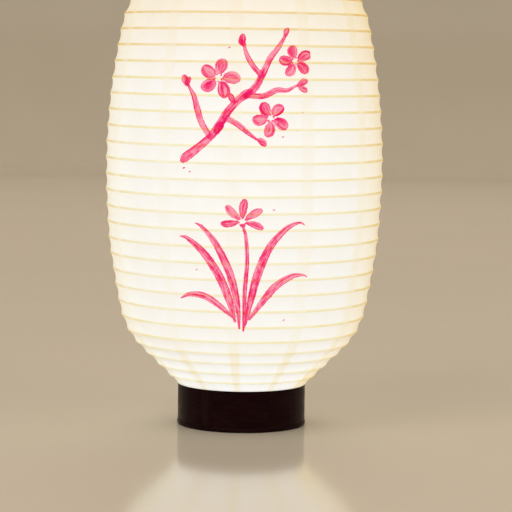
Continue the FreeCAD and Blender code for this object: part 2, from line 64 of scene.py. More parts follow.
cam_data = bpy.data.cameras.new("photo_camera")
cam_data.sensor_width = 36.0
cam_data.lens = FOCAL_PX / 512.0 * 36.0
cam_data.clip_start, cam_data.clip_end = 0.05, 50.0
cam = bpy.data.objects.new("photo_camera", cam_data)
SCENE.collection.objects.link(cam)
cam.matrix_world = (Matrix.Translation(CAM_AT) @ Matrix.Rotation(YAW, 4, "Z")
                    @ Matrix.Rotation(math.pi / 2 - PITCH, 4, "X") @ Matrix.Rotation(ROLL, 4, "Z"))
SCENE.camera = cam
SCENE.view_settings.view_transform = "Standard"
SCENE.view_settings.look = "None"


def area_light(name, at, to, size, power, colour):
    data = bpy.data.lights.new(name, "AREA")
    data.shape, data.size, data.energy, data.color = "DISK", size, power, colour
    o = bpy.data.objects.new(name, data)
    SCENE.collection.objects.link(o)
    o.location = at
    o.rotation_mode = "QUATERNION"
    o.rotation_quaternion = (Vector(to) - Vector(at)).to_track_quat("-Z", "Y")
    return o


area_light("key_softbox", (-1.6, -2.0, 2.5), (0, 0, 0.2), 2.0, 30.0, (1.0, 0.93, 0.84))
area_light("fill_softbox", (2.1, -1.3, 1.8), (0, 0, 0.2), 2.0, 13.0, (1.0, 0.96, 0.91))
area_light("back_softbox", (0.3, 2.7, 2.6), (0, 0.6, 0.1), 2.4, 26.0, (1.0, 0.94, 0.86))
world = bpy.data.worlds.new("studio")
SCENE.world = world
world.use_nodes = True
world.node_tree.nodes["Background"].inputs["Color"].default_value = (0.94, 0.86, 0.75, 1.0)
world.node_tree.nodes["Background"].inputs["Strength"].default_value = 0.75


# ---------------------------------------------------------------- node material helpers
class Mat:
    """A node material with a Principled shader, and short ways to add the nodes that drive it."""

    def __init__(self, name):
        self.mat = bpy.data.materials.new(name)
        self.mat.use_nodes = True
        self.tree = self.mat.node_tree
        self.tree.nodes.clear()
        self.out = self.tree.nodes.new("ShaderNodeOutputMaterial")
        self.bsdf = self.tree.nodes.new("ShaderNodeBsdfPrincipled")
        self.link(self.bsdf.outputs[0], self.out.inputs["Surface"])

    def link(self, a, b):
        self.tree.links.new(a, b)

    def put(self, socket, value):
        if isinstance(value, bpy.types.NodeSocket):
            self.link(value, socket)
        elif value is not None:
            if hasattr(socket.default_value, "__len__") and not hasattr(value, "__len__"):
                value = [value] * len(socket.default_value)
            if hasattr(value, "__len__") and len(value) == 3 and len(socket.default_value) == 4:
                value = (*value, 1.0)
            socket.default_value = value

    def set(self, **values):
        for key, value in values.items():
            self.put(self.bsdf.inputs[key.replace("_", " ")], value)
        return self

    def attribute(self, name):
        n = self.tree.nodes.new("ShaderNodeAttribute")
        n.attribute_name = name
        return n.outputs["Fac"]

    def uv(self, name):
        n = self.tree.nodes.new("ShaderNodeUVMap")
        n.uv_map = name
        return n.outputs[0]

    def coords(self):
        return self.tree.nodes.new("ShaderNodeTexCoord").outputs["Object"]

    def math(self, op, a, b=None, c=None, clamp=False):
        n = self.tree.nodes.new("ShaderNodeMath")
        n.operation, n.use_clamp = op, clamp
        for i, v in enumerate((a, b, c)):
            if v is not None:
                self.put(n.inputs[i], v)
        return n.outputs[0]

    def vmath(self, op, a, b=None):
        n = self.tree.nodes.new("ShaderNodeVectorMath")
        n.operation = op
        self.put(n.inputs[0], a)
        if b is not None:
            self.put(n.inputs[1], b)
        return n.outputs[0]

    def scaled(self, vector, x, y, z=1.0):
        return self.vmath("MULTIPLY", vector, (x, y, z))

    def combine(self, x, y, z=0.0):
        n = self.tree.nodes.new("ShaderNodeCombineXYZ")
        for i, v in enumerate((x, y, z)):
            self.put(n.inputs[i], v)
        return n.outputs[0]

    def separate(self, v):
        n = self.tree.nodes.new("ShaderNodeSeparateXYZ")
        self.put(n.inputs[0], v)
        return n.outputs

    def noise(self, vector, scale=1.0, detail=2.0, rough=0.5, distortion=0.0, dims="3D"):
        n = self.tree.nodes.new("ShaderNodeTexNoise")
        n.noise_dimensions = dims
        self.put(n.inputs["Vector"], vector)
        self.put(n.inputs["Scale"], scale)
        self.put(n.inputs["Detail"], detail)
        self.put(n.inputs["Roughness"], rough)
        self.put(n.inputs["Distortion"], distortion)
        return n.outputs[0]

    def voronoi(self, vector, scale=1.0, feature="F1", out="Distance"):
        n = self.tree.nodes.new("ShaderNodeTexVoronoi")
        n.feature = feature
        self.put(n.inputs["Vector"], vector)
        self.put(n.inputs["Scale"], scale)
        return n.outputs[out]

    def ramp(self, value, lo, hi, to_lo=0.0, to_hi=1.0, smooth=True):
        n = self.tree.nodes.new("ShaderNodeMapRange")
        n.interpolation_type = "SMOOTHSTEP" if smooth else "LINEAR"
        for i, v in enumerate((value, lo, hi, to_lo, to_hi)):
            self.put(n.inputs[i], v)
        return n.outputs[0]

    def mix(self, fac, a, b, mode="MIX"):
        n = self.tree.nodes.new("ShaderNodeMix")
        n.data_type, n.blend_type, n.clamp_factor = "RGBA", mode, True
        self.put(n.inputs[0], fac)
        self.put(n.inputs[6], a)
        self.put(n.inputs[7], b)
        return n.outputs[2]

    def bump(self, height, distance=0.001, strength=1.0, normal=None):
        n = self.tree.nodes.new("ShaderNodeBump")
        self.put(n.inputs["Height"], height)
        self.put(n.inputs["Distance"], distance)
        self.put(n.inputs["Strength"], strength)
        if normal is not None:
            self.link(normal, n.inputs["Normal"])
        return n.outputs[0]


def dress(o, material):
    """Puts one material on every slot of an object."""
    if not o.material_slots:
        o.data.materials.append(material.mat)
    for s in o.material_slots:
        s.material = material.mat
    return o


def mesh_object(name, verts, faces, smooth=True):
    me = bpy.data.meshes.new(name)
    me.from_pydata([tuple(v) for v in verts], [], [tuple(f) for f in faces])
    me.update()
    if smooth:
        me.polygons.foreach_set("use_smooth", [True] * len(me.polygons))
    o = bpy.data.objects.new(name, me)
    SCENE.collection.objects.link(o)
    return o


def float_attribute(o, name, values):
    a = o.data.attributes.new(name, "FLOAT", "POINT")
    a.data.foreach_set("value", np.asarray(values, np.float32))


# ---------------------------------------------------------------- the shade's line, read from the frame
SEAM_AT, GORES = math.radians(-4.0), 12
STEP = 2 * math.pi / GORES
LAP = math.radians(5.5)
RIB_WIRE = 0.75 * MM
PAPER_T = 0.16 * MM

ribs = []
for i in range(30):
    lo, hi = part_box("rib_%02d" % (i + 1))
    ribs.append(((hi.x - lo.x) / 2 - RIB_WIRE, (hi.z + lo.z) / 2))
low_lo, low_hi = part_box("lower_ring")
top_lo, top_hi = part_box("top_ring")
RING_R = (low_hi.x - low_lo.x) / 2
RING_LOW = (low_lo.z, low_hi.z)
RING_TOP = (top_lo.z, top_hi.z)

EDGE_LOW = np.array((RING_R - 0.25 * MM, RING_LOW[1] + 0.35 * MM))
EDGE_TOP = np.array((RING_R - 0.25 * MM, RING_TOP[0] - 0.35 * MM))
RING_WALL = 2.5 * MM
TAIL_R = RING_R - RING_WALL - 0.6 * MM
OUT = 1.6 * MM                     # rib centre to the paper's outside


def unit(v):
    return v / np.linalg.norm(v)


def shade_line():
    """The paper's outside in the (r, z) plane, from the lower tail up: points, outward normals, distance to the nearest rib, and a row density."""
    pts, rib_at = [], []
    c = [np.array(x) for x in ribs]
    tail = [np.array((TAIL_R, 0.0240)), np.array((TAIL_R, 0.0310)), np.array((TAIL_R, RING_LOW[1] - 0.8 * MM)), np.array((TAIL_R + 0.15 * MM, RING_LOW[1])),
            np.array((TAIL_R + 0.6 * MM, RING_LOW[1] + 0.33 * MM)), np.array((TAIL_R + 1.6 * MM, RING_LOW[1] + 0.35 * MM))]
    pts += tail
    line = [EDGE_LOW] + c + [EDGE_TOP]
    for i in range(len(line) - 1):
        a, b = line[i], line[i + 1]
        length = np.linalg.norm(b - a)
        t = (b - a) / length
        n = np.array((t[1], -t[0]))
        ra = OUT if i > 0 else 0.0
        rb = OUT if i < len(line) - 2 else 0.0
        sag = 0.95 * MM * length / 0.0145
        if i == 0 or i == len(line) - 2:
            sag *= 0.35
        # tangent arc that is drawn in between the two ribs' circles
        big = (length * length / 4 + sag * sag) / (2 * sag)
        mean = (ra + rb) / 2
        radius = big - mean
        centre = (a + b) / 2 + (mean - sag + radius) * n
        u, w = unit(centre - a), unit(centre - b)
        start, stop = a + ra * u, b + rb * w
        a0 = math.atan2(*(start - centre)[::-1])
        a1 = math.atan2(*(stop - centre)[::-1])
        d = (a1 - a0 + math.pi) % (2 * math.pi) - math.pi
        rows = 14 if 3 < i < 29 else 9
        rows = 6 if i in (0, 30) else rows
        for k in range(rows + 1):
            f = k / rows
            f = f + 0.06 * math.sin(2 * math.pi * f)
            ang = a0 + d * f
            pts.append(centre + radius * np.array((math.cos(ang), math.sin(ang))))
        if i < len(line) - 2:
            # over the rib
            nxt = line[i + 2]
            t2 = unit(nxt - b)
            n2 = np.array((t2[1], -t2[0]))
            l2 = np.linalg.norm(nxt - b)
            sag2 = 0.95 * MM * l2 / 0.0145 * (0.35 if i + 1 == len(line) - 2 else 1.0)
            r2 = OUT if i + 1 < len(line) - 2 else 0.0
            big2 = (l2 * l2 / 4 + sag2 * sag2) / (2 * sag2)
            mean2 = (OUT + r2) / 2
            rad2 = big2 - mean2
            c2 = (b + nxt) / 2 + (mean2 - sag2 + rad2) * n2
            u2 = unit(c2 - b)
            g0, g1 = math.atan2(w[1], w[0]), math.atan2(u2[1], u2[0])
            mid = (g0 + g1) / 2
            pts.append(b + OUT * np.array((math.cos(mid), math.sin(mid))))
    pts += [np.array((TAIL_R + 1.6 * MM, RING_TOP[0] - 0.35 * MM)), np.array((TAIL_R + 0.6 * MM, RING_TOP[0] - 0.33 * MM)), np.array((TAIL_R + 0.15 * MM, RING_TOP[0])),
            np.array((TAIL_R, RING_TOP[0] + 0.8 * MM)), np.array((TAIL_R, 0.4480)), np.array((TAIL_R, 0.4560))]
    keep = [pts[0]]
    for p in pts[1:]:
        if np.linalg.norm(p - keep[-1]) > 0.02 * MM:
            keep.append(p)
    pts = np.array(keep)
    seg = np.diff(pts, axis=0)
    length = np.linalg.norm(seg, axis=1)
    s = np.concatenate([[0], np.cumsum(length)])
    tang = np.zeros_like(pts)
    tang[1:-1] = pts[2:] - pts[:-2]
    tang[0], tang[-1] = seg[0], seg[-1]
    tang /= np.linalg.norm(tang, axis=1)[:, None]
    normal = np.stack([tang[:, 1], -tang[:, 0]], 1)
    rib_s = []
    for (r, z) in ribs:
        d = np.hypot(pts[:, 0] - r, pts[:, 1] - z)
        near = np.argsort(d)[:3]
        # the row whose normal passes through the rib
        along = np.abs((pts[near, 0] - r) * tang[near, 0] + (pts[near, 1] - z) * tang[near, 1])
        rib_s.append(s[near[np.argmin(along)]])
    rib_s = np.array(rib_s)
    to_rib = (s[:, None] - rib_s[None, :])
    near = np.argmin(np.abs(to_rib), axis=1)
    return pts, normal, s, to_rib[np.arange(len(s)), near], near


LINE, LINE_N, LINE_S, TO_RIB, NEAR_RIB = shade_line()


def value_noise(x, y, seed, period=None):
    """Smooth repeatable noise of two coordinates, about -1 to 1."""
    r = np.random.default_rng(seed)
    table = r.uniform(-1, 1, (256, 256))
    xi, yi = np.floor(x).astype(int), np.floor(y).astype(int)
    fx, fy = x - xi, y - yi
    fx, fy = fx * fx * (3 - 2 * fx), fy * fy * (3 - 2 * fy)

    def at(a, b):
        if period:
            a = a % period
        return table[a % 256, b % 256]

    return ((at(xi, yi) * (1 - fx) + at(xi + 1, yi) * fx) * (1 - fy)
            + (at(xi, yi + 1) * (1 - fx) + at(xi + 1, yi + 1) * fx) * fy)


# ---------------------------------------------------------------- the painted sprays
# Each brush stroke: control points (x to the right, height, half width), in millimetres as seen from the front, then its load of paint.
def spline(ctrl, n=24):
    """A smooth curve through the control points."""
    c = np.array(ctrl, float)
    if len(c) == 2:
        t = np.linspace(0, 1, n)[:, None]
        return c[0] * (1 - t) + c[1] * t
    p = np.vstack([2 * c[0] - c[1], c, 2 * c[-1] - c[-2]])
    out = []
    for i in range(1, len(p) - 2):
        t = np.linspace(0, 1, n, endpoint=(i == len(p) - 3))[:, None]
        a, b, d, e = p[i - 1], p[i], p[i + 1], p[i + 2]
        out.append(0.5 * ((2 * b) + (-a + d) * t + (2 * a - 5 * b + 4 * d - e) * t ** 2 + (-a + 3 * b - 3 * d + e) * t ** 3))
    return np.vstack(out)


STROKES = []


def stroke(ctrl, load=0.8):
    STROKES.append((spline(ctrl), load))


def dab(x, z, turn, length, wide, load, start=0.0):
    """One press of a loaded brush: a fat drop that widens away from its start."""
    a = math.radians(turn)
    ux, uz = math.sin(a), math.cos(a)
    pts = [(start, 0.0, 0.25 * wide), (start + 0.34 * length, -0.10 * wide, 0.80 * wide), (start + 0.70 * length, -0.06 * wide, wide), (start + 0.93 * length, 0.10 * wide, 0.72 * wide)]
    stroke([(x + u * ux + v * uz, z + u * uz - v * ux, w) for u, v, w in pts], load)


def blossom(x, z, size, turn, load):
    """Five fat petals, set down one by one, and a few dots in the middle."""
    for k in range(5):
        dab(x, z, turn + 72 * k + (k % 2) * 4, 0.66 * size * (1.0 + 0.07 * ((k * 3) % 4 - 1.5)), 0.345 * size, load * (0.72 + 0.12 * ((k * 7) % 5)), 0.30 * size)
    for k in range(5):
        a = math.radians(turn + 30 + 72 * k)
        stroke([(x + 0.17 * size * math.sin(a), z + 0.17 * size * math.cos(a), 0.55), (x + 0.21 * size * math.sin(a), z + 0.21 * size * math.cos(a), 0.7)], 1.0)


# upper spray: a flowering branch, in angular strokes that are laid over each other
stroke([(-53, 247, 2.6), (-50, 250, 3.9), (-40, 258, 3.5), (-29, 268, 3.2), (-22, 277, 3.9)], 0.78)
stroke([(-24, 273, 3.0), (-17, 286, 3.5), (-8, 297, 3.1), (0, 304, 3.6), (4, 306, 2.7)], 0.92)
stroke([(1, 303, 2.7), (9, 311, 3.1), (15, 322, 2.8), (21, 335, 2.7), (29, 346, 2.0), (34, 355, 1.0)], 0.66)
stroke([(-30, 268, 2.6), (-37, 279, 2.6), (-41, 291, 2.8), (-44, 302, 2.1), (-49, 311, 1.0)], 0.50)
stroke([(4, 303, 2.2), (16, 303, 2.6), (27, 308, 2.4), (36, 308, 1.8), (44, 312, 0.9)], 0.46)
stroke([(-17, 284, 2.2), (-7, 279, 2.5), (2, 272, 2.1), (10, 266, 1.0)], 0.60)
stroke([(14, 320, 2.1), (6, 329, 2.3), (1, 338, 2.0), (-2, 347, 0.9)], 0.52)
blossom(-23, 318, 15.5, 14, 0.74)
blossom(22, 284, 14.0, 42, 0.56)
blossom(42.5, 333, 12.8, -14, 0.82)
dab(-49, 311, -28, 8.5, 3.1, 0.9)
dab(-51, 311, 22, 7.0, 2.5, 0.5)
dab(45, 312, 58, 8.5, 3.0, 0.8)
dab(46, 310, 108, 7.0, 2.5, 0.5)
dab(-2, 346, -8, 8.5, 3.0, 0.85)
dab(0, 346, -58, 6.6, 2.3, 0.5)
dab(11, 266, 122, 8.0, 3.0, 0.7)
dab(34, 354, 12, 6.6, 2.5, 0.7)
dab(-9, 297, -32, 7.5, 2.6, 0.9)
# lower spray: bending grass leaves with a flower
stroke([(-6.5, 107, 1.0), (-11, 124, 2.9), (-20, 146, 3.7), (-34, 167, 3.2), (-48, 179, 1.8), (-55, 181, 0.5)], 0.74)
stroke([(-2.5, 101, 0.9), (-5, 126, 2.7), (-12, 151, 3.5), (-23, 174, 2.9), (-35, 189, 1.6), (-42, 193, 0.5)], 0.54)
stroke([(2.5, 104, 1.0), (7, 126, 2.9), (13, 150, 3.8), (23, 173, 3.3), (37, 189, 2.4), (48, 194, 1.1), (53, 192, 0.5)], 0.84)
stroke([(6, 109, 1.0), (15, 122, 2.6), (28, 138, 3.4), (42, 147, 2.5), (52, 148, 1.1), (56, 146, 0.4)], 0.46)
stroke([(-9, 111, 0.9), (-19, 120, 2.5), (-33, 129, 3.0), (-46, 130, 2.0), (-54, 126, 0.5)], 0.62)
stroke([(1, 99, 1.0), (1.6, 130, 1.8), (3.4, 160, 1.8), (2, 182, 1.5), (-1, 192, 1.1)], 0.95)
for ang, ln, wd, ld in ((-98, 14.5, 3.2, 0.8), (-48, 15, 3.6, 0.5), (4, 15, 3.8, 0.9), (57, 15.5, 3.5, 0.5), (106, 15, 3.1, 0.75)):
    dab(-1, 195, ang, ln, wd, ld, 3.2)
for k in range(3):
    stroke([(-3 + 2.0 * k, 192.5, 0.6), (-2.6 + 1.8 * k, 191.5, 0.8)], 1.0)
# a few flecks
for x, z, w in ((-52, 240, 0.8), (-47, 237, 0.55), (33, 268, 0.7), (50, 289, 0.6), (-14, 344, 0.75), (36, 108, 0.65), (-40, 152, 0.6), (26, 205, 0.7)):
    stroke([(x - 0.5, z, w), (x + 0.7, z + 0.4, w * 0.8)], 0.6)


def painted(x, z):
    """For points as seen from the front, in millimetres: inside depth of the nearest stroke, place along it, place across it, paint load and the number of strokes there."""
    depth = np.full(len(x), -9.0)
    joined = np.full(len(x), -9.0)
    along, across, load, layers = (np.zeros(len(x)) for _ in range(4))
    for k, (line, ld) in enumerate(STROKES):
        reach = line[:, 2].max() + 2.5
        box = ((x > line[:, 0].min() - reach) & (x < line[:, 0].max() + reach) & (z > line[:, 1].min() - reach) & (z < line[:, 1].max() + reach))
        idx = np.nonzero(box)[0]
        if not len(idx):
            continue
        a, b = line[:-1], line[1:]
        ab = b[:, :2] - a[:, :2]
        l2 = np.maximum((ab ** 2).sum(1), 1e-9)
        s0 = np.concatenate([[0], np.cumsum(np.sqrt(l2))])
        best = np.full(len(idx), -99.0)
        bs, bv = np.zeros(len(idx)), np.zeros(len(idx))
        px, pz = x[idx], z[idx]
        for j in range(len(a)):
            dx, dz = px - a[j, 0], pz - a[j, 1]
            t = np.clip((dx * ab[j, 0] + dz * ab[j, 1]) / l2[j], 0, 1)
            ex, ez = dx - t * ab[j, 0], dz - t * ab[j, 1]
            w = a[j, 2] + t * (b[j, 2] - a[j, 2])
            dist = np.hypot(ex, ez)
            dep = w - dist
            hit = dep > best
            best[hit] = dep[hit]
            bs[hit] = s0[j] + (t * math.sqrt(l2[j]))[hit]
            side = np.sign(ex * ab[j, 1] - ez * ab[j, 0])
            bv[hit] = (side * dist / np.maximum(w, 0.3))[hit]
        soft = np.maximum(1.3 - np.abs(joined[idx] - best), 0) / 1.3
        joined[idx] = np.maximum(joined[idx], best) + soft * soft * 1.3 / 4
        total = s0[-1]
        dry = ld * (1.0 - 0.25 * (bs / total))
        wins = best > depth[idx]
        sel = idx[wins]
        depth[sel], along[sel], across[sel] = best[wins], (bs + 37.0 * k)[wins], bv[wins]
        cover = np.clip(best / 0.5 + 0.5, 0, 1)
        load[idx] = np.maximum(load[idx], dry * cover) + 0.18 * np.minimum(load[idx], dry * cover)
        layers[idx] += cover
    return joined, along, across, load, layers


# ---------------------------------------------------------------- paper strips
def ends_share(z):
    """1 in the short bays by the rings, 0 from 100 mm above the lower ring's foot, and the same from the top."""
    return np.clip((100 * MM - np.minimum(z, RING_LOW[1] + RING_TOP[0] - z)) / (40 * MM), 0, 1)


def pushed_out(z):
    """How far the ribs press the paper out along the shade's middle, where it is pulled tight."""
    return 0.24 * MM * (1 - ends_share(z))


def paper_strip(k):
    """One upright strip of paper, from its lower lap to its upper lap, as a thin closed sheet."""
    start = SEAM_AT + STEP * (k - 1) - LAP / 2
    stop = SEAM_AT + STEP * k + LAP / 2
    mid = (start + stop) / 2
    mid = (mid + math.pi) % (2 * math.pi) - math.pi
    start, stop = mid - (STEP + LAP) / 2, mid + (STEP + LAP) / 2
    front = abs(mid) < math.radians(25)
    inner = int(round((STEP - LAP) / math.radians(0.36 if front else 1.25)))
    edge = 14 if front else 7
    th = np.concatenate([np.linspace(start, start + LAP, edge + 1)[:-1], np.linspace(start + LAP, stop - LAP, inner + 1)[:-1], np.linspace(stop - LAP, stop, edge + 1)])
    rows = np.arange(len(LINE))
    if not front:
        # fewer rows where no paint needs them
        keep = np.ones(len(LINE), bool)
        keep[::2] = False
        keep[np.abs(TO_RIB) < 1.3 * MM] = True
        keep[:7] = keep[-7:] = True
        rows = rows[keep]
    line, nrm, s, to_rib, near = LINE[rows], LINE_N[rows], LINE_S[rows], TO_RIB[rows], NEAR_RIB[rows]
    T, I = np.meshgrid(th, np.arange(len(rows)))
    r0, z0 = line[I, 0], line[I, 1]
    nr, nz = nrm[I, 0], nrm[I, 1]
    # the strip's right edge lies over the next strip, its left edge under the one before it
    over = np.clip((T - (stop - 1.4 * LAP)) / (0.38 * LAP), 0, 1)
    over = over * over * (3 - 2 * over)
    lift = PAPER_T * 1.08 * over
    free = np.clip((s[I] - s[6]) / 0.004, 0, 1) * np.clip((s[-7] - s[I]) / 0.004, 0, 1)
    between = 1 - np.exp(-(to_rib[I] / (2.6 * MM)) ** 2)
    u_mm = T * 125.0
    bay = near[I] + (to_rib[I] > 0)
    slack = value_noise(T * 9.0 + 3.1, bay * 1.7, 5) * 0.16 + value_noise(T * 31.0, bay * 2.3, 6) * 0.06
    puckers = value_noise(u_mm / 6.5, s[I] / 0.0035, 7) * 0.05
    wave = (slack + puckers) * MM * between * free
    rub = value_noise(T * 16.0, near[I] * 3.1, 8) * 0.10 * MM * (1 - between) * free
    # the paper hangs in a little between the ribs, more so in the short bays at both ends
    hang = 1 - (1 - np.minimum(np.abs(to_rib[I]) / (7.2 * MM), 1)) ** 2
    sag = (0.36 + 0.26 * ends_share(z0)) * MM * hang
    d = (lift + pushed_out(z0) - sag) * free + wave + rub
    R, Z = r0 + nr * d, z0 + nz * d
    # torn edges: the paper thins out over its last 2.8 mm, so that a pasted lap has no step
    to_edge = np.minimum(T - start, stop - T) * r0
    feather = np.clip(to_edge / (2.8 * MM), 0, 1)
    thick = PAPER_T * (0.16 + 0.84 * feather * feather * (3 - 2 * feather))
    thick = np.where((T - start) < (stop - T), thick, PAPER_T)
    sunk = np.where((T - start) < (stop - T), 0.0, PAPER_T * 0.84 * (1 - feather * feather * (3 - 2 * feather)))
    R, Z = R - nr * sunk, Z - nz * sunk
    thick = thick - sunk
    Ri, Zi = R - nr * thick, Z - nz * thick
    nrow, ncol = T.shape
    outer = np.stack([R * np.sin(T), -R * np.cos(T), Z], -1).reshape(-1, 3)
    inner_v = np.stack([Ri * np.sin(T), -Ri * np.cos(T), Zi], -1).reshape(-1, 3)
    verts = np.vstack([outer, inner_v])
    n = nrow * ncol
    q = (np.arange(nrow - 1)[:, None] * ncol + np.arange(ncol - 1)[None, :]).ravel()
    quads = np.stack([q, q + 1, q + 1 + ncol, q + ncol], 1)
    back = np.stack([q + n, q + ncol + n, q + 1 + ncol + n, q + 1 + n], 1)
    rim = []
    for i in range(nrow - 1):
        a, b = i * ncol, (i + 1) * ncol
        rim.append((a, b, b + n, a + n))
        a, b = i * ncol + ncol - 1, (i + 1) * ncol + ncol - 1
        rim.append((b, a, a + n, b + n))
    for j in range(ncol - 1):
        rim.append((j + 1, j, j + n, j + 1 + n))
        a = (nrow - 1) * ncol + j
        rim.append((a, a + 1, a + 1 + n, a + n))
    faces = np.vstack([quads, back, np.array(rim)])
    o = mesh_object("paper_strip_%02d" % (k + 1), verts, faces)
    # the cut edges stay crisp, so that they don't shade the paper beside them
    ends = np.zeros(len(o.data.edges) * 2, np.int32)
    o.data.edges.foreach_get("vertices", ends)
    ends = ends.reshape(-1, 2)
    col, row = (ends % n) % ncol, (ends % n) // ncol
    on_edge = (col == 0).all(1) | (col == ncol - 1).all(1) | (row == 0).all(1) | (row == nrow - 1).all(1)
    on_edge &= (ends[:, 0] < n) == (ends[:, 1] < n)
    o.data.attributes.new("sharp_edge", "BOOLEAN", "EDGE").data.foreach_set("value", on_edge)
    # flat coordinates on the paper, in millimetres
    uv_co = np.stack([(T * 125.0).ravel(), (s[I] * 1000).ravel()], 1)
    uv_co = np.vstack([uv_co, uv_co]).astype(np.float32)
    layer = o.data.uv_layers.new(name="paper_mm")
    loops = np.zeros(len(o.data.loops), np.int32)
    o.data.loops.foreach_get("vertex_index", loops)
    layer.data.foreach_set("uv", uv_co[loops].ravel())
    both = lambda a: np.concatenate([a.ravel(), a.ravel()])
    # counts up by one from rib to rib, so that it runs on evenly across each bay
    rib_s = np.array([(LINE_S - TO_RIB)[NEAR_RIB == i][0] for i in range(30)])
    count = np.interp(s, rib_s, np.arange(30))
    count = np.where(s < rib_s[0], np.maximum((s - rib_s[0]) / (14.4 * MM), -0.49), count)
    count = np.where(s > rib_s[-1], np.minimum(29 + (s - rib_s[-1]) / (14.4 * MM), 29.49), count)
    float_attribute(o, "rib_count", both(count[I]))
    float_attribute(o, "rib_no", both(near[I].astype(float)))
    arc = line[I, 0] * 1000
    in_lap = np.maximum(LAP - (T - start), LAP - (stop - T)) * arc      # above 0 inside a lap, in mm
    float_attribute(o, "lap_mm", both(np.minimum(in_lap, np.minimum(T - start, stop - T) * arc)))
    float_attribute(o, "height_mm", both(z0 * 1000))
    float_attribute(o, "strip_no", np.full(2 * n, float(k)))
    if front:
        x, z = outer[:, 0] * 1000, outer[:, 2] * 1000
        dep, al, ac, ld, ly = painted(x, z)
    else:
        dep, al, ac, ld, ly = np.full(n, -9.0), np.zeros(n), np.zeros(n), np.zeros(n), np.zeros(n)
    for name, v in (("ink_depth", dep), ("ink_along", al), ("ink_across", ac), ("ink_load", ld), ("ink_layers", ly)):
        float_attribute(o, name, both(v))
    # flat size, along the strip's middle, with the paper's hang between the ribs
    across, up = R[:, ncol // 2], Z[:, ncol // 2]
    step = np.hypot(np.diff(across), np.diff(up))
    area = float(np.sum(step * (across[1:] + across[:-1]) / 2) * (STEP + LAP))
    width = float(across.max() * (STEP + LAP))
    length = float(step.sum())
    return o, width, length, area


